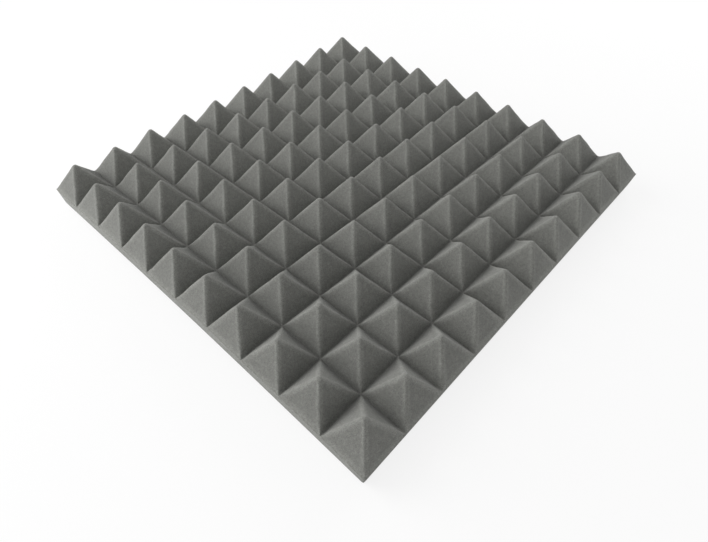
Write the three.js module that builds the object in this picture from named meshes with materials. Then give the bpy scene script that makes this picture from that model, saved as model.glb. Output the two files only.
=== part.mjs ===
// Acoustic foam panel: a square wall tile of soft open-cell foam, charcoal grey.
// Its front is a field of full pyramids, and its back, which is glued to the wall, is flat.
//
// The real tile is one piece of foam. A block is cut twice with the same ridge-shaped cut,
// the second time square to the first, and is trimmed along the grooves. So every level
// curve of the front is a square round a tip, and the model is lofted through such squares:
// one profile, groove arc, flank and tip arc, gives each square's reach and level.
//
// Millimetres, +Z up. The origin is the middle of the flat back, the pyramids point to +Z,
// and X and Y run along the four trimmed edges.

import * as THREE from 'three';
import { mergeVertices } from 'three/addons/utils/BufferGeometryUtils.js';

// The pyramid field.
const pyramidPitch = 50; // from tip to tip, which is also the width of a pyramid's foot
const pyramidsAlong = 10; // pyramids along X
const pyramidsAcross = 10; // pyramids along Y
const pyramidHeight = 33; // from the bottom of a groove to a tip

// The base that the pyramids stand on.
const baseThickness = 22; // from the flat back to the bottom of a groove

// Foam has no sharp edges: tips, arrises and grooves are all a little blunt.
const tipRadius = 3.2;
const grooveRadius = 1;
const arrisWidth = 2; // the flat along each of a pyramid's four sloping edges

// Each rounded tip and groove side is an arc of this many straight steps.
const tipSteps = 2;
const grooveSteps = 2;

// A regular octagon's cut corner as a share of the reach of the square that it is cut from.
const octagonShare = 2 - Math.SQRT2;

const panelLength = pyramidPitch * pyramidsAlong;
const panelWidth = pyramidPitch * pyramidsAcross;
const footReach = pyramidPitch / 2;
const tipLevel = baseThickness + pyramidHeight;

// The slope of a flank that leaves the groove's arc and meets the tip's arc without a kink.
// It crosses between the two arcs like a belt between two pulleys that turn opposite ways.
function flankSlope() {
  const rise = pyramidHeight - tipRadius - grooveRadius;
  const centreDistance = Math.hypot(footReach, rise);
  return Math.atan2(rise, footReach) + Math.asin((tipRadius + grooveRadius) / centreDistance);
}

// Half of the section through a pyramid, from the bottom of its groove up to its tip. Reach
// is measured sideways from the tip, and level from the flat back.
function pyramidProfile() {
  const slope = flankSlope();
  const profile = [];
  for (let step = 0; step <= grooveSteps; step += 1) {
    const turn = slope * step / grooveSteps;
    profile.push({
      reach: footReach - grooveRadius * Math.sin(turn),
      level: baseThickness + grooveRadius * (1 - Math.cos(turn)),
    });
  }
  for (let step = tipSteps; step >= 0; step -= 1) {
    const turn = slope * step / tipSteps;
    profile.push({
      reach: tipRadius * Math.sin(turn),
      level: tipLevel - tipRadius * (1 - Math.cos(turn)),
    });
  }
  return profile;
}

// A square of a pyramid with its corners cut off, as eight points that run anticlockwise
// seen from above. An uncut corner is the same point twice, and so is a reach of zero.
function squareRing(centreX, centreY, reach, level, cornerCut) {
  const short = reach - cornerCut;
  const shares = [[1, 1], [-1, 1], [-1, -1], [1, -1]];
  return shares.flatMap(([x, y], quarter) => {
    const first = new THREE.Vector3(centreX + x * reach, centreY + y * short, level);
    const second = new THREE.Vector3(centreX + x * short, centreY + y * reach, level);
    return quarter % 2 === 0 ? [first, second] : [second, first];
  });
}

// The blunt arris at a given reach. Low on the flank it has its full width, and near the tip
// the squares turn into octagons. The grooves meet at the bottom in sharp corners.
function arrisCut(reach) {
  if (reach === footReach) {
    return 0;
  }
  return Math.min(arrisWidth / Math.SQRT2, reach * octagonShare);
}

class Surface {
  constructor() {
    this.corners = [];
  }

  // A triangle, anticlockwise seen from outside. One with two equal corners is no triangle.
  triangle(a, b, c) {
    if (!a.equals(b) && !b.equals(c) && !c.equals(a)) {
      this.corners.push(a, b, c);
    }
  }

  quad(a, b, c, d) {
    this.triangle(a, b, c);
    this.triangle(a, c, d);
  }

  // The band between two rings, the lower one first.
  band(lower, upper) {
    for (let index = 0; index < lower.length; index += 1) {
      const next = (index + 1) % lower.length;
      this.quad(lower[index], lower[next], upper[next], upper[index]);
    }
  }

  toGeometry() {
    const geometry = new THREE.BufferGeometry().setFromPoints(this.corners);
    const welded = mergeVertices(geometry);
    welded.computeVertexNormals();
    return welded;
  }
}

// One pyramid, lofted from the bottom of its groove to its tip.
function addPyramid(surface, centreX, centreY, profile) {
  const rings = profile.map(({ reach, level }) => (
    squareRing(centreX, centreY, reach, level, arrisCut(reach))
  ));
  for (let index = 1; index < rings.length; index += 1) {
    surface.band(rings[index - 1], rings[index]);
  }
}

// The base's flat back and its four trimmed sides, which reach up to the bottoms of the
// grooves. A side has a point at the end of each groove and fans out from one lower corner.
function addBase(surface) {
  const corners = (level) => [
    new THREE.Vector3(-panelLength / 2, -panelWidth / 2, level),
    new THREE.Vector3(panelLength / 2, -panelWidth / 2, level),
    new THREE.Vector3(panelLength / 2, panelWidth / 2, level),
    new THREE.Vector3(-panelLength / 2, panelWidth / 2, level),
  ];
  const back = corners(0);
  const top = corners(baseThickness);
  const pyramidsBeside = [pyramidsAlong, pyramidsAcross, pyramidsAlong, pyramidsAcross];
  surface.quad(back[3], back[2], back[1], back[0]);
  pyramidsBeside.forEach((count, side) => {
    const next = (side + 1) % back.length;
    const grooveEnd = (index) => new THREE.Vector3().lerpVectors(top[side], top[next], index / count);
    surface.triangle(back[side], back[next], top[next]);
    for (let index = 0; index < count; index += 1) {
      surface.triangle(back[side], grooveEnd(index + 1), grooveEnd(index));
    }
  });
}

function foamTile() {
  const surface = new Surface();
  const profile = pyramidProfile();
  for (let along = 0; along < pyramidsAlong; along += 1) {
    for (let across = 0; across < pyramidsAcross; across += 1) {
      const centreX = along * pyramidPitch + footReach - panelLength / 2;
      const centreY = across * pyramidPitch + footReach - panelWidth / 2;
      addPyramid(surface, centreX, centreY, profile);
    }
  }
  addBase(surface);
  return surface.toGeometry();
}

const charcoalFoam = new THREE.MeshStandardMaterial({
  name: 'charcoal foam',
  color: 0x6a6b67,
  roughness: 0.97,
  metalness: 0,
});

const foamPanel = new THREE.Mesh(foamTile(), charcoalFoam);
foamPanel.name = 'foam_panel';

const acousticPanel = new THREE.Group();
acousticPanel.add(foamPanel);

export default acousticPanel;
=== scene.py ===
"""Dresses a pyramid foam wall tile: its fine surface, its foam, and a plain white studio.

Metres, +Z up. The origin is the middle of the tile's flat back, and the pyramids point to +Z.
The tile's near corner in the photograph is the one at -X and -Y.
"""

import logging
import math
from dataclasses import dataclass
from enum import Enum

import bpy
import numpy as np
from mathutils import Matrix, Vector


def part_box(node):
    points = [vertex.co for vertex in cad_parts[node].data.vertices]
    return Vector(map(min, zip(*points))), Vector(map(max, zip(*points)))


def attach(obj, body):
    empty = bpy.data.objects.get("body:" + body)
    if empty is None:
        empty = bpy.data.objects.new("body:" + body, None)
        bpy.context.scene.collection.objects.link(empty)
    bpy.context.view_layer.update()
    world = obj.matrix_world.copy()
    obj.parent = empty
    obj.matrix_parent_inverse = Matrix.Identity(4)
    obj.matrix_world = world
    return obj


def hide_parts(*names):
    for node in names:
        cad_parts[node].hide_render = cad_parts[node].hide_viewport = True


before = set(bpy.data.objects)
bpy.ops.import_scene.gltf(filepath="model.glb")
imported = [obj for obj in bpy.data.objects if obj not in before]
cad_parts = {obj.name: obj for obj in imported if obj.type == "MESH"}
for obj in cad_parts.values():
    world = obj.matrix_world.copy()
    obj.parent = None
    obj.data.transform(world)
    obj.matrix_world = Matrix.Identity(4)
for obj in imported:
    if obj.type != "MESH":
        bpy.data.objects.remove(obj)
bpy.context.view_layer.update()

PICTURE_WIDTH = 708  # pixels
SENSOR_WIDTH = 36.0  # millimetres, as Blender takes it
MILLIMETRE = 0.001
WHITE = (1.0, 1.0, 1.0, 1.0)
TINY = 1e-12  # holds a divisor off zero
NOISE_MIDDLE = 0.5  # noise goes up and down from here
CLOUD_SPAN = (0.3, 0.7)  # and cloudy noise mostly stays between these

log = logging.getLogger("foam_tile")


class Cut(Enum):
    """The cut that made a stretch of the foam's surface, as the number its vertices carry."""

    PROFILE = 0.0
    TRIM = 0.5
    SLICE = 1.0


def smooth_step(share: np.ndarray) -> np.ndarray:
    """An S-shaped ramp: zero below zero, one above one, three squares less two cubes between."""
    held = np.clip(share, 0.0, 1.0)
    return held * held * (3.0 - 2.0 * held)


def put_in_scene(name: str, data: bpy.types.ID) -> bpy.types.Object:
    """Makes an object and links it to the scene.

    Args:
        name: the object's name.
        data: its mesh, lamp or camera.

    Returns:
        The new object.
    """
    thing = bpy.data.objects.new(name, data)
    bpy.context.scene.collection.objects.link(thing)
    return thing


@dataclass
class Surface:
    """Loose grids of points that are welded into one closed skin.

    Args:
        points: rows of x, y and z.
        quads: rows of four point numbers, anticlockwise seen from outside.
        marks: rows of the values that each point carries.
    """

    points: np.ndarray
    quads: np.ndarray
    marks: np.ndarray

    @staticmethod
    def joined(parts: "list[Surface]") -> "Surface":
        """Puts several surfaces into one, without welding them.

        Args:
            parts: the surfaces, whose marks have the same columns.

        Returns:
            One surface with all their points and quads.
        """
        starts = np.cumsum([0] + [len(part.points) for part in parts[:-1]])
        return Surface(
            np.concatenate([part.points for part in parts]),
            np.concatenate([part.quads + start for part, start in zip(parts, starts)]),
            np.concatenate([part.marks for part in parts]),
        )

    def welded(self, tolerance: float) -> "Surface":
        """Merges the points that lie in the same cell of a fine grid.

        Args:
            tolerance: the width of the grid's cells.

        Returns:
            The same surface with each place held by one point.
        """
        cells = np.round(self.points / tolerance).astype(np.int64)
        _, first, number = np.unique(cells, axis=0, return_index=True, return_inverse=True)
        return Surface(self.points[first], number.reshape(-1)[self.quads], self.marks[first])

    def triangles(self) -> np.ndarray:
        """Splits each quad along a diagonal and leaves out triangles with two equal corners.

        Returns:
            Rows of three point numbers, anticlockwise seen from outside.
        """
        split = np.concatenate([self.quads[:, [0, 1, 2]], self.quads[:, [0, 2, 3]]])
        a, b, c = split.T
        return split[(a != b) & (b != c) & (c != a)]


def band_quads(rings: int, around: int) -> np.ndarray:
    """Joins rings of points into bands, the lowest ring first, each ring closed on itself.

    Args:
        rings: how many rings there are.
        around: how many points each ring has, anticlockwise seen from above.

    Returns:
        Rows of four point numbers, ring by ring.
    """
    lower = np.arange(rings - 1)[:, None] * around
    here, there = np.arange(around), (np.arange(around) + 1) % around
    corners = [lower + here, lower + there, lower + around + there, lower + around + here]
    return np.stack(corners, axis=-1).reshape(-1, 4)


@dataclass(frozen=True)
class Slack:
    """How the soft tile lies on the floor: some corners and edges stand a little off it.

    Each corner has its own lift, and each edge bows up or down between its two corners.
    """

    near_corner: float = 0.0
    left_corner: float = 5.5 * MILLIMETRE
    right_corner: float = 2.0 * MILLIMETRE
    far_corner: float = 2.0 * MILLIMETRE
    near_left_bow: float = 6.0 * MILLIMETRE
    near_right_bow: float = 0.6 * MILLIMETRE
    far_left_bow: float = -3.8 * MILLIMETRE
    far_right_bow: float = 1.0 * MILLIMETRE
    slope_step: float = 0.5 * MILLIMETRE  # over which a slope is measured

    def lift(self, x: np.ndarray, y: np.ndarray, reach: tuple[float, float]) -> np.ndarray:
        """The height of the tile's underside over the floor, before it is set down.

        The four corner lifts are blended linearly along both sides. Each edge adds half a
        sine wave of its bow along its length, which fades linearly towards the far edge.

        Args:
            x, y: places on the tile.
            reach: half of the tile's length and half of its width.

        Returns:
            One height for each place.
        """
        along, across = (x / reach[0] + 1) / 2, (y / reach[1] + 1) / 2
        corners = (
            self.near_corner * (1 - along) * (1 - across)
            + self.left_corner * (1 - along) * across
            + self.right_corner * along * (1 - across)
            + self.far_corner * along * across
        )
        over_width, over_length = np.sin(np.pi * across), np.sin(np.pi * along)
        return (
            corners
            + over_width * (self.near_left_bow * (1 - along) + self.far_right_bow * along)
            + over_length * (self.near_right_bow * (1 - across) + self.far_left_bow * across)
        )

    def bend(self, points: np.ndarray, reach: tuple[float, float]) -> np.ndarray:
        """Bends a flat tile to this slack and sets it down on the floor.

        A point keeps its height over the underside, measured square to the bent underside,
        whose slope is the lift's change over a small step.

        Args:
            points: rows of x, y and z of the flat tile.
            reach: half of the tile's length and half of its width.

        Returns:
            The bent points, the lowest of them at zero.
        """
        x, y, height = points.T
        step = self.slope_step
        slope_x = (self.lift(x + step, y, reach) - self.lift(x - step, y, reach)) / (2 * step)
        slope_y = (self.lift(x, y + step, reach) - self.lift(x, y - step, reach)) / (2 * step)
        square = np.stack([-slope_x, -slope_y, np.ones_like(x)], axis=-1)
        square /= np.linalg.norm(square, axis=-1, keepdims=True)
        bent = np.stack([x, y, self.lift(x, y, reach)], axis=-1) + square * height[:, None]
        bent[:, 2] -= bent[:, 2].min()
        return bent


@dataclass(frozen=True)
class Unevenness:
    """The small wander of cut foam, as a sum of slow waves that run in seeded directions."""

    sway: float = 0.35 * MILLIMETRE  # of the long waves
    ripple: float = 0.18 * MILLIMETRE  # of the short waves
    sway_lengths: tuple[float, float] = (70 * MILLIMETRE, 240 * MILLIMETRE)
    ripple_lengths: tuple[float, float] = (14 * MILLIMETRE, 34 * MILLIMETRE)
    waves: int = 14
    seed: int = 7

    def moved(self, points: np.ndarray, freedom: np.ndarray) -> np.ndarray:
        """Moves each point a little along each axis.

        Each axis adds up sine waves of the place's distance along random directions, with
        random phases. Their sum is scaled so that its usual size is the amplitude.

        Args:
            points: rows of x, y and z.
            freedom: for each point, the share of the movement that it takes.

        Returns:
            The moved points.
        """
        source = np.random.default_rng(self.seed)
        moved = points.copy()
        for size, (shortest, longest) in (
            (self.sway, self.sway_lengths),
            (self.ripple, self.ripple_lengths),
        ):
            heading = source.normal(size=(3, self.waves, 3))
            heading /= np.linalg.norm(heading, axis=-1, keepdims=True)
            wave_number = 2 * np.pi / source.uniform(shortest, longest, (3, self.waves))
            phase = source.uniform(0, 2 * np.pi, (3, self.waves))
            turns = np.einsum("pk,awk->paw", points, heading) * wave_number + phase
            shift = np.sin(turns).sum(axis=-1) * size / math.sqrt(self.waves)
            moved += shift * freedom[:, None]
        return moved


@dataclass
class FoamTile:
    """The tile: one piece of foam with a field of pyramids, trimmed sides and a flat back."""

    length: float
    width: float
    height: float
    name: str = "pyramid_foam"
    body: str = "root"
    node: str = "foam_panel"
    slot: str = "charcoal_foam"
    pyramids_along: int = 10
    pyramids_across: int = 10
    base_thickness: float = 22 * MILLIMETRE
    tip_radius: float = 3.2 * MILLIMETRE
    groove_radius: float = 1.0 * MILLIMETRE
    arris_radius: float = 2.2 * MILLIMETRE
    arris_fade: float = 5.0 * MILLIMETRE  # from the groove to an arris's full round
    arris_highlight_band: float = 2.0 * MILLIMETRE  # of painted highlight along an arris
    bottom_edge_radius: float = 2.0 * MILLIMETRE
    upright_edge_radius: float = 1.5 * MILLIMETRE
    tip_lean: float = 0.35 * MILLIMETRE  # usual size, along X and along Y
    tip_rise: float = 0.3 * MILLIMETRE  # usual size, up or down
    draw_in: tuple[float, float] = (2.0 * MILLIMETRE, 3.5 * MILLIMETRE)  # of each side at the back
    groove_shade_end: float = 7.0 * MILLIMETRE  # over which a groove's painted shade fades out
    trim_mark_reach: float = 5.0 * MILLIMETRE  # that the trimmed sides' saw lines and painted light reach onto the front
    flat_steps: int = 10
    arris_steps: int = 4
    groove_steps: int = 2
    flank_steps: int = 9
    tip_steps: int = 4
    side_steps: int = 6
    bottom_edge_steps: int = 3
    weld_tolerance: float = 1e-4 * MILLIMETRE
    seed: int = 11
    slack: Slack = Slack()
    unevenness: Unevenness = Unevenness()

    @staticmethod
    def in_frame() -> "FoamTile":
        """Takes the tile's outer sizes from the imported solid."""
        low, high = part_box("foam_panel")
        return FoamTile(*(high - low))

    @property
    def pitch(self) -> float:
        """The distance from tip to tip."""
        return self.length / self.pyramids_along

    @property
    def foot(self) -> float:
        """Half of a pyramid's width, where it stands on the base."""
        return self.pitch / 2

    @property
    def pyramid_height(self) -> float:
        """The height of a tip over the bottom of a groove."""
        return self.height - self.base_thickness

    @property
    def reach(self) -> tuple[float, float]:
        """Half of the tile's length and half of its width."""
        return self.length / 2, self.width / 2

    def profile(self) -> tuple[np.ndarray, np.ndarray]:
        """Half of the section through a pyramid, from its groove up to its tip.

        An arc round the bottom of the groove, a straight flank that touches both arcs, and an
        arc over the tip. The flank's slope is that of the line between the two arcs' centres
        plus the angle whose sine is the sum of the radii over that line's length.

        Returns:
            The reach sideways from the tip, and the level over the back.
        """
        radii = self.tip_radius + self.groove_radius
        rise = self.pyramid_height - self.tip_radius - self.groove_radius
        slope = math.atan2(rise, self.foot) + math.asin(radii / math.hypot(rise, self.foot))
        groove_turn = slope * np.linspace(0, 1, self.groove_steps + 1)
        tip_turn = slope * np.linspace(1, 0, self.tip_steps + 1)
        groove = (
            self.foot - self.groove_radius * np.sin(groove_turn),
            self.base_thickness + self.groove_radius * (1 - np.cos(groove_turn)),
        )
        tip = (
            self.tip_radius * np.sin(tip_turn),
            self.height - self.tip_radius * (1 - np.cos(tip_turn)),
        )
        share = self.crowded_shares(self.flank_steps)[1:-1]
        flank = [low[-1] + (top[0] - low[-1]) * share for low, top in zip(groove, tip)]
        reach, level = (np.concatenate(three) for three in zip(groove, flank, tip))
        return reach, level

    @staticmethod
    def crowded_shares(steps: int) -> np.ndarray:
        """Even shares from zero to one, with a short first and last step.

        The short steps keep the soft shading of a rounded edge off the flat beside it.

        Args:
            steps: how many steps there are in all.

        Returns:
            One more share than there are steps.
        """
        short_share = 0.035
        inner = np.linspace(short_share, 1 - short_share, steps - 1)
        return np.concatenate([[0.0], inner, [1.0]])

    def ring(self) -> tuple[np.ndarray, np.ndarray, np.ndarray]:
        """Walks anticlockwise round a square with rounded corners.

        A point of a ring is (reach - corner radius) times its anchor, plus the corner radius
        times its outward direction. Along a flat the anchor slides from -1 to 1 and the
        outward direction is the side's own. Round a corner the anchor stays and the outward
        direction turns by a right angle.

        Returns:
            The anchors, the outward directions, and how far each point is from the nearest
            arris: zero on its round and one in the middle of a flat.
        """
        slide = 2 * self.crowded_shares(self.flat_steps) - 1
        turn = np.linspace(0, np.pi / 2, self.arris_steps + 1)[1:-1]
        held = np.concatenate([slide, np.ones_like(turn)])
        swing = np.concatenate([np.zeros_like(slide), turn])
        facing = np.arange(4)[:, None] * np.pi / 2
        normal = np.stack(np.broadcast_arrays(np.cos(facing), np.sin(facing)), axis=-1)
        tangent = np.stack([-normal[..., 1], normal[..., 0]], axis=-1)
        anchor = normal + held[None, :, None] * tangent
        outward = np.stack([np.cos(facing + swing), np.sin(facing + swing)], axis=-1)
        apart = np.tile(1 - np.abs(held), 4)
        return anchor.reshape(-1, 2), outward.reshape(-1, 2), apart

    def arris_growth(self, reach: np.ndarray) -> np.ndarray:
        """The share of its full round that an arris has: none at the groove, and soon all of it."""
        return smooth_step((self.foot - reach) / self.arris_fade)

    def corner_radius(self, reach: np.ndarray) -> np.ndarray:
        """How round the pyramid's section is at a given reach.

        The arris radius, which grows from zero over a short stretch above the groove, and
        which gives way to the reach itself at the tip, by the cube root of the sum of cubes.

        Args:
            reach: the distance from the tip's axis to the flanks.

        Returns:
            The radius of the section's corners.
        """
        grown = self.arris_growth(reach) * self.arris_radius
        together = np.cbrt(reach**3 + grown**3)
        return np.where(together > 0, reach * grown / np.maximum(together, TINY), 0.0)

    def pyramid(self) -> Surface:
        """One pyramid round the Z axis, lofted from the bottom of its groove to its tip.

        The edge mark, which carries a painted highlight, falls from one on an arris as a bell
        curve of the distance to it. Round the tip it is one as well, and fades out at twice the
        tip's radius. The depth mark, which carries painted shade in the grooves, is the share of
        the height that a point lies below the tip.

        Returns:
            The pyramid, open below.
        """
        reach, level = self.profile()
        anchor, outward, apart = self.ring()
        corner = self.corner_radius(reach)[:, None, None]
        flat = (reach[:, None, None] - corner) * anchor + corner * outward
        height = np.broadcast_to(level[:, None, None], flat.shape[:2] + (1,))
        points = np.concatenate([flat, height], axis=-1).reshape(-1, 3)
        away = apart * (reach[:, None] - corner[..., 0])
        over_tip = smooth_step(1 - reach / (2 * self.tip_radius))
        # painted highlight: a pale band along each arris, and over the whole tip
        band = np.exp(-((away / self.arris_highlight_band) ** 2)) * self.arris_growth(reach)[:, None]
        edge = np.maximum(band, over_tip[:, None])
        # the depth mark carries the painted shade of the grooves
        depth = (self.height - points[:, 2]) / self.pyramid_height
        marks = np.stack([edge.reshape(-1), depth, np.full(edge.size, Cut.PROFILE.value)], axis=-1)
        return Surface(points, band_quads(len(reach), len(anchor)), marks)

    def field(self) -> Surface:
        """All the pyramids, each of which leans and rises by a little of its own.

        The lean grows from the groove to the tip. The depth mark, and with it the painted shade
        of the grooves, fades to zero towards the tile's edges, because a groove is open at its
        ends, and the cut mark starts there with that of the trimmed sides, which brings their
        painted light onto the front's border.

        Returns:
            The tile's front, from the bottoms of the grooves up.
        """
        one = self.pyramid()
        along = (np.arange(self.pyramids_along) + 0.5) * self.pitch - self.length / 2
        across = (np.arange(self.pyramids_across) + 0.5) * self.pitch - self.width / 2
        centres = np.stack(np.meshgrid(along, across, indexing="ij"), axis=-1).reshape(-1, 2)
        source = np.random.default_rng(self.seed)
        own = source.normal(size=(len(centres), 3))
        own *= [self.tip_lean, self.tip_lean, self.tip_rise]
        share = (one.points[:, 2] - self.base_thickness) / self.pyramid_height
        placed = np.repeat(one.points[None], len(centres), axis=0)
        placed[..., :2] += centres[:, None]
        placed += own[:, None] * smooth_step(share)[None, :, None]
        starts = np.arange(len(centres)) * len(one.points)
        quads = (one.quads[None] + starts[:, None, None]).reshape(-1, 4)
        points, marks = placed.reshape(-1, 3), np.tile(one.marks, (len(centres), 1))
        inside = (np.array(self.reach) - np.abs(points[:, :2])).min(axis=1)
        # painted shade of the grooves fades out near the tile's edges
        marks[:, 1] *= smooth_step(inside / self.groove_shade_end)
        # the trimmed sides' painted light and saw lines reach onto the front's border
        marks[:, 2] = Cut.TRIM.value * (1 - smooth_step(inside / self.trim_mark_reach))
        return Surface(points, quads, marks)

    def stations(self, count: int) -> np.ndarray:
        """The places of the groove's points along an edge, from -1 to 1.

        Args:
            count: how many pyramids stand along the edge.

        Returns:
            The places as shares of half the edge.
        """
        share = (np.arange(count)[:, None] + self.crowded_shares(self.flat_steps)) / count
        return 2 * np.concatenate([share[:, :-1].reshape(-1), [1.0]]) - 1

    def sides(self) -> Surface:
        """The four trimmed sides, from the round of the bottom edge up to the grooves' ends.

        One closed ring of points is carried up. Round the bottom edge it widens by an arc,
        and above that it goes straight up.

        Returns:
            The sides, open above and below.
        """
        along, across = self.stations(self.pyramids_along), self.stations(self.pyramids_across)
        ones_along, ones_across = np.ones(len(along) - 1), np.ones(len(across) - 1)
        x = np.concatenate([ones_across, along[:0:-1], -ones_across, along[:-1]])
        y = np.concatenate([across[:-1], ones_along, across[:0:-1], -ones_along])
        turn = np.linspace(0, np.pi / 2, self.bottom_edge_steps + 1)
        radius = self.bottom_edge_radius
        upright = radius + (self.base_thickness - radius) * self.crowded_shares(self.side_steps)[1:]
        inset = np.concatenate([radius * (1 - np.sin(turn)), np.zeros(self.side_steps)])
        level = np.concatenate([radius * (1 - np.cos(turn)), upright])
        points = np.stack(
            [
                x[None] * (self.length / 2 - inset[:, None]),
                y[None] * (self.width / 2 - inset[:, None]),
                np.broadcast_to(level[:, None], (len(level), len(x))),
            ],
            axis=-1,
        ).reshape(-1, 3)
        marks = np.tile([0.0, 0.0, Cut.TRIM.value], (len(points), 1))
        return Surface(points, band_quads(len(level), len(x)), marks)

    def back(self) -> Surface:
        """The flat back: a grid with the same places along both edges as the sides have.

        Returns:
            The back, which faces down.
        """
        along = self.stations(self.pyramids_along) * (self.length / 2 - self.bottom_edge_radius)
        across = self.stations(self.pyramids_across) * (self.width / 2 - self.bottom_edge_radius)
        x, y = np.meshgrid(along, across, indexing="ij")
        points = np.stack([x, y, np.zeros_like(x)], axis=-1).reshape(-1, 3)
        number = np.arange(x.size).reshape(x.shape)
        corners = [number[:-1, :-1], number[:-1, 1:], number[1:, 1:], number[1:, :-1]]
        quads = np.stack(corners, axis=-1).reshape(-1, 4)
        return Surface(points, quads, np.tile([0.0, 0.0, Cut.SLICE.value], (len(points), 1)))

    def round_upright_edges(self, points: np.ndarray) -> np.ndarray:
        """Draws in the four upright edges, and the outer arrises that they run on into.

        Where a point is nearer to two sides than the radius, its offset from the edge's
        centre line is shortened to the radius. Over the grooves the sides slope in with the
        pyramid's flanks, and the round goes on up to where the arris has its own.

        Args:
            points: rows of x, y and z.

        Returns:
            The points with the edges rounded.
        """
        radius = self.upright_edge_radius
        reach, level = self.profile()
        inset = self.foot - np.interp(points[:, 2], level, reach)
        over = np.abs(points[:, :2]) - (np.array(self.reach) - inset[:, None] - radius)
        away = np.hypot(*over.T)
        outside = (over > 0).all(axis=1) & (away > radius) & (inset < self.arris_fade)
        scale = np.where(outside, radius / np.maximum(away, TINY), 1.0)
        moved = points.copy()
        moved[:, :2] -= np.sign(points[:, :2]) * over * (1 - scale)[:, None]
        return moved

    def narrow_base(self, points: np.ndarray) -> np.ndarray:
        """Draws the sides in towards the back, evenly with the depth below the grooves.

        Args:
            points: rows of x, y and z.

        Returns:
            The points, with those of the base moved towards the Z axis.
        """
        depth = np.clip(1 - points[:, 2] / self.base_thickness, 0.0, 1.0)
        moved = points.copy()
        moved[:, :2] *= 1 - depth[:, None] * np.array(self.draw_in) / np.array(self.reach)
        return moved

    def surface(self) -> Surface:
        """The whole skin: welded, uneven, bent to its slack and set down on the floor.

        Returns:
            The closed surface in its final place.
        """
        skin = Surface.joined([self.field(), self.sides(), self.back()])
        skin = skin.welded(self.weld_tolerance)
        points = self.narrow_base(self.round_upright_edges(skin.points))
        freedom = smooth_step(points[:, 2] / self.base_thickness)
        points = self.unevenness.moved(points, freedom)
        skin.points = self.slack.bend(points, self.reach)
        return skin

    def build(self) -> bpy.types.Object:
        """Puts the skin into a mesh.

        Returns:
            The tile's object, at the origin, with the marks "edge", "depth" and "cut".
        """
        skin = self.surface()
        mesh = bpy.data.meshes.new(self.name)
        mesh.from_pydata(skin.points.tolist(), [], skin.triangles().tolist())
        for column, name in enumerate(("edge", "depth", "cut")):
            attribute = mesh.attributes.new(name, "FLOAT", "POINT")
            attribute.data.foreach_set("value", skin.marks[:, column].astype(np.float32))
        mesh.shade_smooth()
        mesh.update()
        log.info("%s: %d triangles", self.name, len(mesh.polygons))
        return put_in_scene(self.name, mesh)

    def dress(self, piece: bpy.types.Object, material: bpy.types.Material) -> None:
        """Gives the tile its foam, hangs it under its body, and hides the solid that it stands for.

        Args:
            piece: the tile's object.
            material: the foam.
        """
        piece.data.materials.append(material)
        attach(piece, self.body)
        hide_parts(self.node)


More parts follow.
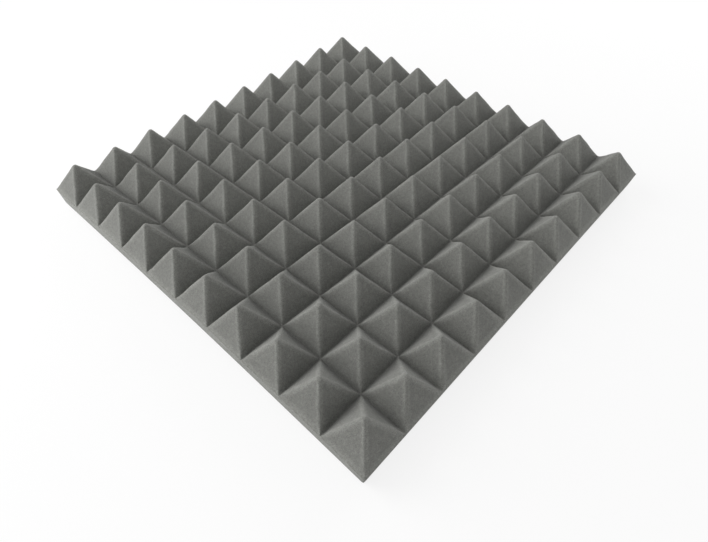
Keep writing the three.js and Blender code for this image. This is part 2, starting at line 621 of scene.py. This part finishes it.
class NodeDesk:
    """A short way to write the nodes and links of a material or a world."""

    def __init__(self, owner: bpy.types.Material | bpy.types.World) -> None:
        """Clears the nodes of the material or world that is to be written.

        Args:
            owner: the material or world.
        """
        owner.use_nodes = True
        self.owner = owner
        self.tree = owner.node_tree
        self.tree.nodes.clear()

    def add(self, kind: str, values: dict | None = None, **settings: object) -> bpy.types.Node:
        """Adds a node.

        Args:
            kind: the node's type, without the words ShaderNode.
            values: by input, a plain value or the output that feeds it.
            settings: the node's own settings.

        Returns:
            The new node.
        """
        node = self.tree.nodes.new("ShaderNode" + kind)
        for key, value in settings.items():
            setattr(node, key, value)
        for key, value in (values or {}).items():
            if isinstance(value, bpy.types.NodeSocket):
                self.tree.links.new(value, node.inputs[key])
            else:
                node.inputs[key].default_value = value
        return node

    def result_of(self, operation: str, *terms: object) -> bpy.types.NodeSocket:
        """A math node's result.

        Args:
            operation: Blender's name for the operation.
            terms: its inputs in order.

        Returns:
            The output.
        """
        return self.add("Math", dict(enumerate(terms)), operation=operation).outputs[0]

    def product(self, *factors: object) -> bpy.types.NodeSocket:
        """Multiplies numbers.

        Args:
            factors: two or more numbers, plain or from a node.

        Returns:
            The output.
        """
        result = factors[0]
        for factor in factors[1:]:
            result = self.result_of("MULTIPLY", result, factor)
        return result

    def mark(self, name: str) -> bpy.types.NodeSocket:
        """Reads one of the numbers that the tile's points carry."""
        return self.add("Attribute", attribute_name=name).outputs["Fac"]

    def ramp(
        self,
        share: bpy.types.NodeSocket,
        low: float,
        high: float,
        start: float = 0.0,
        end: float = 1.0,
    ) -> bpy.types.NodeSocket:
        """Maps a number smoothly from one range to another.

        Args:
            share: the number to map.
            low, high: what it gives below start and above end.
            start, end: the range of the number.

        Returns:
            The output.
        """
        ranges = {"From Min": start, "From Max": end, "To Min": low, "To Max": high}
        values = {"Value": share, **ranges}
        return self.add("MapRange", values, interpolation_type="SMOOTHSTEP").outputs["Result"]

    def stretched(self, place: bpy.types.NodeSocket, scale: Vector) -> bpy.types.NodeSocket:
        """Scales the coordinates along each axis."""
        return self.add("Mapping", {"Vector": place, "Scale": scale}).outputs["Vector"]

    def noise(
        self, place: bpy.types.NodeSocket, width: float, detail: float = 1.0
    ) -> bpy.types.NodeSocket:
        """Cloudy noise, from about zero to one.

        Args:
            place: the coordinates.
            width: about how wide a patch is.
            detail: how many finer layers are laid over it.

        Returns:
            The output.
        """
        values = {"Vector": place, "Scale": 1 / width, "Detail": detail}
        return self.add("TexNoise", values).outputs["Fac"]

    def patches(
        self, place: bpy.types.NodeSocket, width: float, contrast: float, detail: float = 3.0
    ) -> bpy.types.NodeSocket:
        """A factor round one: cloudy noise that goes up and down by the contrast.

        Args:
            place: the coordinates.
            width: about how wide a patch is.
            contrast: the most that the factor leaves one by.
            detail: how many finer layers are laid over it.

        Returns:
            The output.
        """
        cloud = self.noise(place, width, detail)
        return self.ramp(cloud, 1 - contrast, 1 + contrast, *CLOUD_SPAN)

    def swayed(
        self, place: bpy.types.NodeSocket, width: float, sway: float
    ) -> bpy.types.NodeSocket:
        """Shifts the coordinates to and fro, so that an even pattern turns uneven.

        Args:
            place: the coordinates.
            width: about how far it is from one shift to the next.
            sway: the most that a place is shifted along an axis.

        Returns:
            The output.
        """
        values = {"Vector": place, "Scale": 1 / width, "Detail": 1.0}
        random = self.add("TexNoise", values).outputs["Color"]
        middle = {0: random, 1: (NOISE_MIDDLE,) * 3}
        centred = self.add("VectorMath", middle, operation="SUBTRACT").outputs[0]
        scaled = {0: centred, "Scale": sway / NOISE_MIDDLE}
        shift = self.add("VectorMath", scaled, operation="SCALE").outputs[0]
        return self.add("VectorMath", {0: place, 1: shift}, operation="ADD").outputs[0]


@dataclass(frozen=True)
class CharcoalFoam:
    """Matte charcoal grey open-cell foam with fine pores and no skin.

    A gain or a loss is the share by which the foam is painted paler or darker there: a painted
    highlight on arrises and tips, painted shade in the grooves and painted light on the trimmed
    faces. A contrast is the share that it goes up and down by. A depth is how deep the relief
    of the shading is.
    """

    name: str = "open_cell_foam"
    foam: tuple[float, float, float] = (0.161, 0.163, 0.151)
    # painted highlight, painted shade and painted light, as gains and losses of the tone
    edge_highlight_gain: float = 0.21
    groove_shade_loss: float = 0.25
    groove_shade_power: float = 20.0
    trim_light_gain: float = 0.30
    drift_contrast: float = 0.05
    drift_width: float = 45 * MILLIMETRE
    blotch_contrast: float = 0.08
    blotch_width: float = 2.8 * MILLIMETRE
    pore_contrast: float = 0.26
    pore_depth: float = 0.10 * MILLIMETRE
    pore_width: float = 0.85 * MILLIMETRE
    strut_share: float = 0.24  # how far a strut reaches into its pores, of a cell
    shallow_pore: float = 0.35  # the least depth of a pore, of the full depth
    shallow_span: tuple[float, float] = (0.35, 0.6)  # noise from least to full depth
    full_pore: float = 0.9  # from here on a pore is as dark as it gets
    saw_contrast: float = 0.04
    saw_depth: float = 0.05 * MILLIMETRE
    saw_pitch: float = 2.2 * MILLIMETRE
    saw_run: float = 160 * MILLIMETRE
    saw_detail: float = 2.0
    roughness: float = 0.97
    specular: float = 0.15
    sheen: float = 0.12
    sheen_roughness: float = 0.6

    def material(self) -> bpy.types.Material:
        """Makes the foam.

        Its shade is a product: a slow drift and small blotches, a painted highlight on the
        arrises and tips, painted shade in the grooves, painted light on the trimmed faces, faint
        saw lines, and the pores, each darker than the struts round it.

        Returns:
            The material.
        """
        desk = NodeDesk(bpy.data.materials.new(self.name))
        place = desk.add("TexCoord").outputs["Object"]
        pore = self.pores(desk, place)
        trimmed = desk.ramp(desk.mark("cut"), 0, 1, Cut.PROFILE.value, Cut.TRIM.value)
        saw = desk.product(trimmed, self.saw_lines(desk, place))
        # painted shade: darker towards the bottom of each groove
        groove = desk.result_of("POWER", desk.mark("depth"), self.groove_shade_power)
        pale, dark = 1 + self.pore_contrast, 1 - self.pore_contrast
        shade = desk.product(
            desk.patches(place, self.drift_width, self.drift_contrast),
            desk.patches(place, self.blotch_width, self.blotch_contrast),
            # painted highlight on the arrises and tips
            desk.ramp(desk.mark("edge"), 1, 1 + self.edge_highlight_gain),
            # painted shade in the grooves
            desk.result_of("SUBTRACT", 1.0, desk.product(groove, self.groove_shade_loss)),
            # painted light: the trimmed faces and the border next to them made paler
            desk.result_of("ADD", 1.0, desk.product(trimmed, self.trim_light_gain)),
            desk.result_of("ADD", 1.0, desk.product(saw, self.saw_contrast)),
            desk.ramp(pore, pale, dark, 0.0, self.full_pore),
        )
        tone = desk.add("VectorMath", {0: self.foam, "Scale": shade}, operation="SCALE")
        lines, holes = desk.product(saw, self.saw_depth), desk.product(pore, self.pore_depth)
        relief = desk.result_of("SUBTRACT", lines, holes)
        bump = desk.add("Bump", {"Height": relief, "Distance": 1.0, "Strength": 1.0})
        shader = desk.add("BsdfPrincipled", {
            "Base Color": tone.outputs["Vector"],
            "Normal": bump.outputs["Normal"],
            "Roughness": self.roughness,
            "Specular IOR Level": self.specular,
            "Sheen Weight": self.sheen,
            "Sheen Roughness": self.sheen_roughness,
        })
        desk.add("OutputMaterial", {"Surface": shader.outputs["BSDF"]})
        return desk.owner

    def pores(self, desk: NodeDesk, place: bpy.types.NodeSocket) -> bpy.types.NodeSocket:
        """Open cells: zero on the struts between them, and up to one in the deepest pores.

        The distance to the cells' edges, held to the struts' thickness, times noise about as
        wide as a cell, which leaves some cells shallow.

        Args:
            desk: the material's nodes.
            place: the coordinates.

        Returns:
            The output.
        """
        width = self.pore_width
        values = {"Vector": desk.swayed(place, 2 * width, width / 2), "Scale": 1 / width}
        cells = desk.add("TexVoronoi", values, feature="DISTANCE_TO_EDGE")
        opening = desk.ramp(cells.outputs["Distance"], 0.0, 1.0, 0.0, self.strut_share)
        depth = desk.ramp(desk.noise(place, width), self.shallow_pore, 1.0, *self.shallow_span)
        return desk.product(opening, depth)

    def saw_lines(self, desk: NodeDesk, place: bpy.types.NodeSocket) -> bpy.types.NodeSocket:
        """The faint lines of the blade: level on the sides, and along X on the back.

        Args:
            desk: the material's nodes.
            place: the coordinates.

        Returns:
            Noise from about -0.5 to 0.5 that is drawn out along the blade's way.
        """
        along, across = 1 / self.saw_run, 1 / self.saw_pitch
        level = desk.stretched(place, Vector((along, along, across)))
        on_sides = desk.noise(level, 1.0, self.saw_detail)
        lengthwise = desk.stretched(place, Vector((along, across, along)))
        on_back = desk.noise(lengthwise, 1.0, self.saw_detail)
        sliced = desk.ramp(desk.mark("cut"), 0, 1, Cut.TRIM.value, Cut.SLICE.value)
        both = {0: sliced, 2: on_sides, 3: on_back}
        lines = desk.add("Mix", both, data_type="FLOAT").outputs[0]
        return desk.result_of("SUBTRACT", lines, NOISE_MIDDLE)


@dataclass(frozen=True)
class Lamp:
    """A square soft light that faces the middle of the tile. Its angles are in degrees."""

    name: str
    azimuth: float
    elevation: float
    distance: float
    size: float
    strength: float

    def hang(self) -> None:
        """Puts the lamp up.

        Its power is its strength times its distance's square, so that a lamp that is moved
        away lights the tile as before.
        """
        data = bpy.data.lights.new(self.name, "AREA")
        data.shape, data.size = "SQUARE", self.size
        data.energy = self.strength * self.distance**2
        lamp = put_in_scene(self.name, data)
        lamp.visible_camera = False
        angle, rise = math.radians(self.azimuth), math.radians(self.elevation)
        flat = math.cos(rise)
        away = Vector((math.cos(angle) * flat, math.sin(angle) * flat, math.sin(rise)))
        lamp.location = away * self.distance
        lamp.rotation_euler = away.to_track_quat("Z", "Y").to_euler()
        log.info("%s: %.1f W", self.name, data.energy)


@dataclass(frozen=True)
class Studio:
    """A white floor and white surroundings, a key lamp from the left and three weaker lamps."""

    floor_width: float = 60.0
    floor_gap: float = 0.05 * MILLIMETRE  # under the tile
    floor_colour: float = 0.90
    floor_glow_share: float = 0.82  # of what the camera sees is white beside the tile
    shadow_reach: float = 0.4  # from the middle, where the floor starts to turn white
    white_reach: float = 1.1  # from the middle, where it is all white
    ambient: float = 0.42
    lamps: tuple[Lamp, ...] = (
        Lamp("key_lamp", 125.0, 30.0, 1.8, 1.4, 10.2),
        Lamp("right_lamp", 0.0, 25.0, 1.5, 1.0, 3.6),
        Lamp("front_lamp", 300.0, 6.0, 1.5, 1.0, 2.5),
        Lamp("left_lamp", 180.0, 10.0, 1.5, 1.0, 1.5),
    )

    def build(self) -> None:
        """Sets up the floor, the surroundings and the lamps."""
        self.lay_floor()
        self.surround()
        for lamp in self.lamps:
            lamp.hang()

    def lay_floor(self) -> None:
        """Lays the floor: a matte white sheet that keeps the tile's shadow.

        The camera sees it partly as pure white, and wholly so away from the tile.
        """
        half, level = self.floor_width / 2, -self.floor_gap
        signs = ((-1, -1), (1, -1), (1, 1), (-1, 1))
        corners = [(x * half, y * half, level) for x, y in signs]
        mesh = bpy.data.meshes.new("floor")
        mesh.from_pydata(corners, [], [(0, 1, 2, 3)])
        desk = NodeDesk(bpy.data.materials.new("floor_white"))
        colour = (self.floor_colour,) * 3 + (1.0,)
        matte = desk.add("BsdfDiffuse", {"Color": colour}).outputs[0]
        glow = desk.add("Emission", {"Color": WHITE, "Strength": 1.0}).outputs[0]
        seen = desk.add("LightPath").outputs["Is Camera Ray"]
        place = desk.add("TexCoord").outputs["Object"]
        away = desk.add("VectorMath", {0: place}, operation="LENGTH").outputs["Value"]
        white = desk.ramp(away, self.floor_glow_share, 1.0, self.shadow_reach, self.white_reach)
        mixed = desk.add("MixShader", {0: desk.product(seen, white), 1: matte, 2: glow})
        desk.add("OutputMaterial", {"Surface": mixed.outputs[0]})
        mesh.materials.append(desk.owner)
        floor = put_in_scene("floor", mesh)

    def surround(self) -> None:
        """Makes the world white to the camera and a plain soft light to everything else."""
        desk = NodeDesk(bpy.data.worlds.new("white_surroundings"))
        soft = desk.add("Background", {"Color": WHITE, "Strength": self.ambient}).outputs[0]
        white = desk.add("Background", {"Color": WHITE, "Strength": 1.0}).outputs[0]
        seen = desk.add("LightPath").outputs["Is Camera Ray"]
        mixed = desk.add("MixShader", {0: seen, 1: soft, 2: white})
        desk.add("OutputWorld", {"Surface": mixed.outputs[0]})
        bpy.context.scene.world = desk.owner


@dataclass(frozen=True)
class Viewpoint:
    """Where the photograph was taken from.

    The angles, in degrees, are of the line of sight: heading anticlockwise from +X seen from
    above, dip below the level, and roll round the line itself. The focal length is in pixels.
    """

    eye: tuple[float, float, float] = (-0.3525, -0.3384, 0.4219)
    heading: float = 43.41
    dip: float = 49.04
    roll: float = -0.77
    focal_pixels: float = 509.1

    def set_up(self) -> None:
        """Makes the camera and gives it to the scene."""
        data = bpy.data.cameras.new("camera")
        data.sensor_width = SENSOR_WIDTH
        data.lens = SENSOR_WIDTH * self.focal_pixels / PICTURE_WIDTH
        camera = put_in_scene("camera", data)
        turn = (
            Matrix.Rotation(math.radians(self.heading - 90), 4, "Z")
            @ Matrix.Rotation(math.radians(90 - self.dip), 4, "X")
            @ Matrix.Rotation(math.radians(self.roll), 4, "Z")
        )
        camera.matrix_world = Matrix.Translation(self.eye) @ turn
        bpy.context.scene.camera = camera
        log.info("camera: lens %.2f mm", data.lens)


def main() -> None:
    """Builds the tile, the studio and the camera, in that order."""
    logging.basicConfig(level=logging.INFO, format="%(name)s: %(message)s")
    tile = FoamTile.in_frame()
    tile.dress(tile.build(), CharcoalFoam().material())
    Studio().build()
    Viewpoint().set_up()
    scene = bpy.context.scene
    scene.view_settings.view_transform = "Standard"


if __name__ == "__main__":
    main()
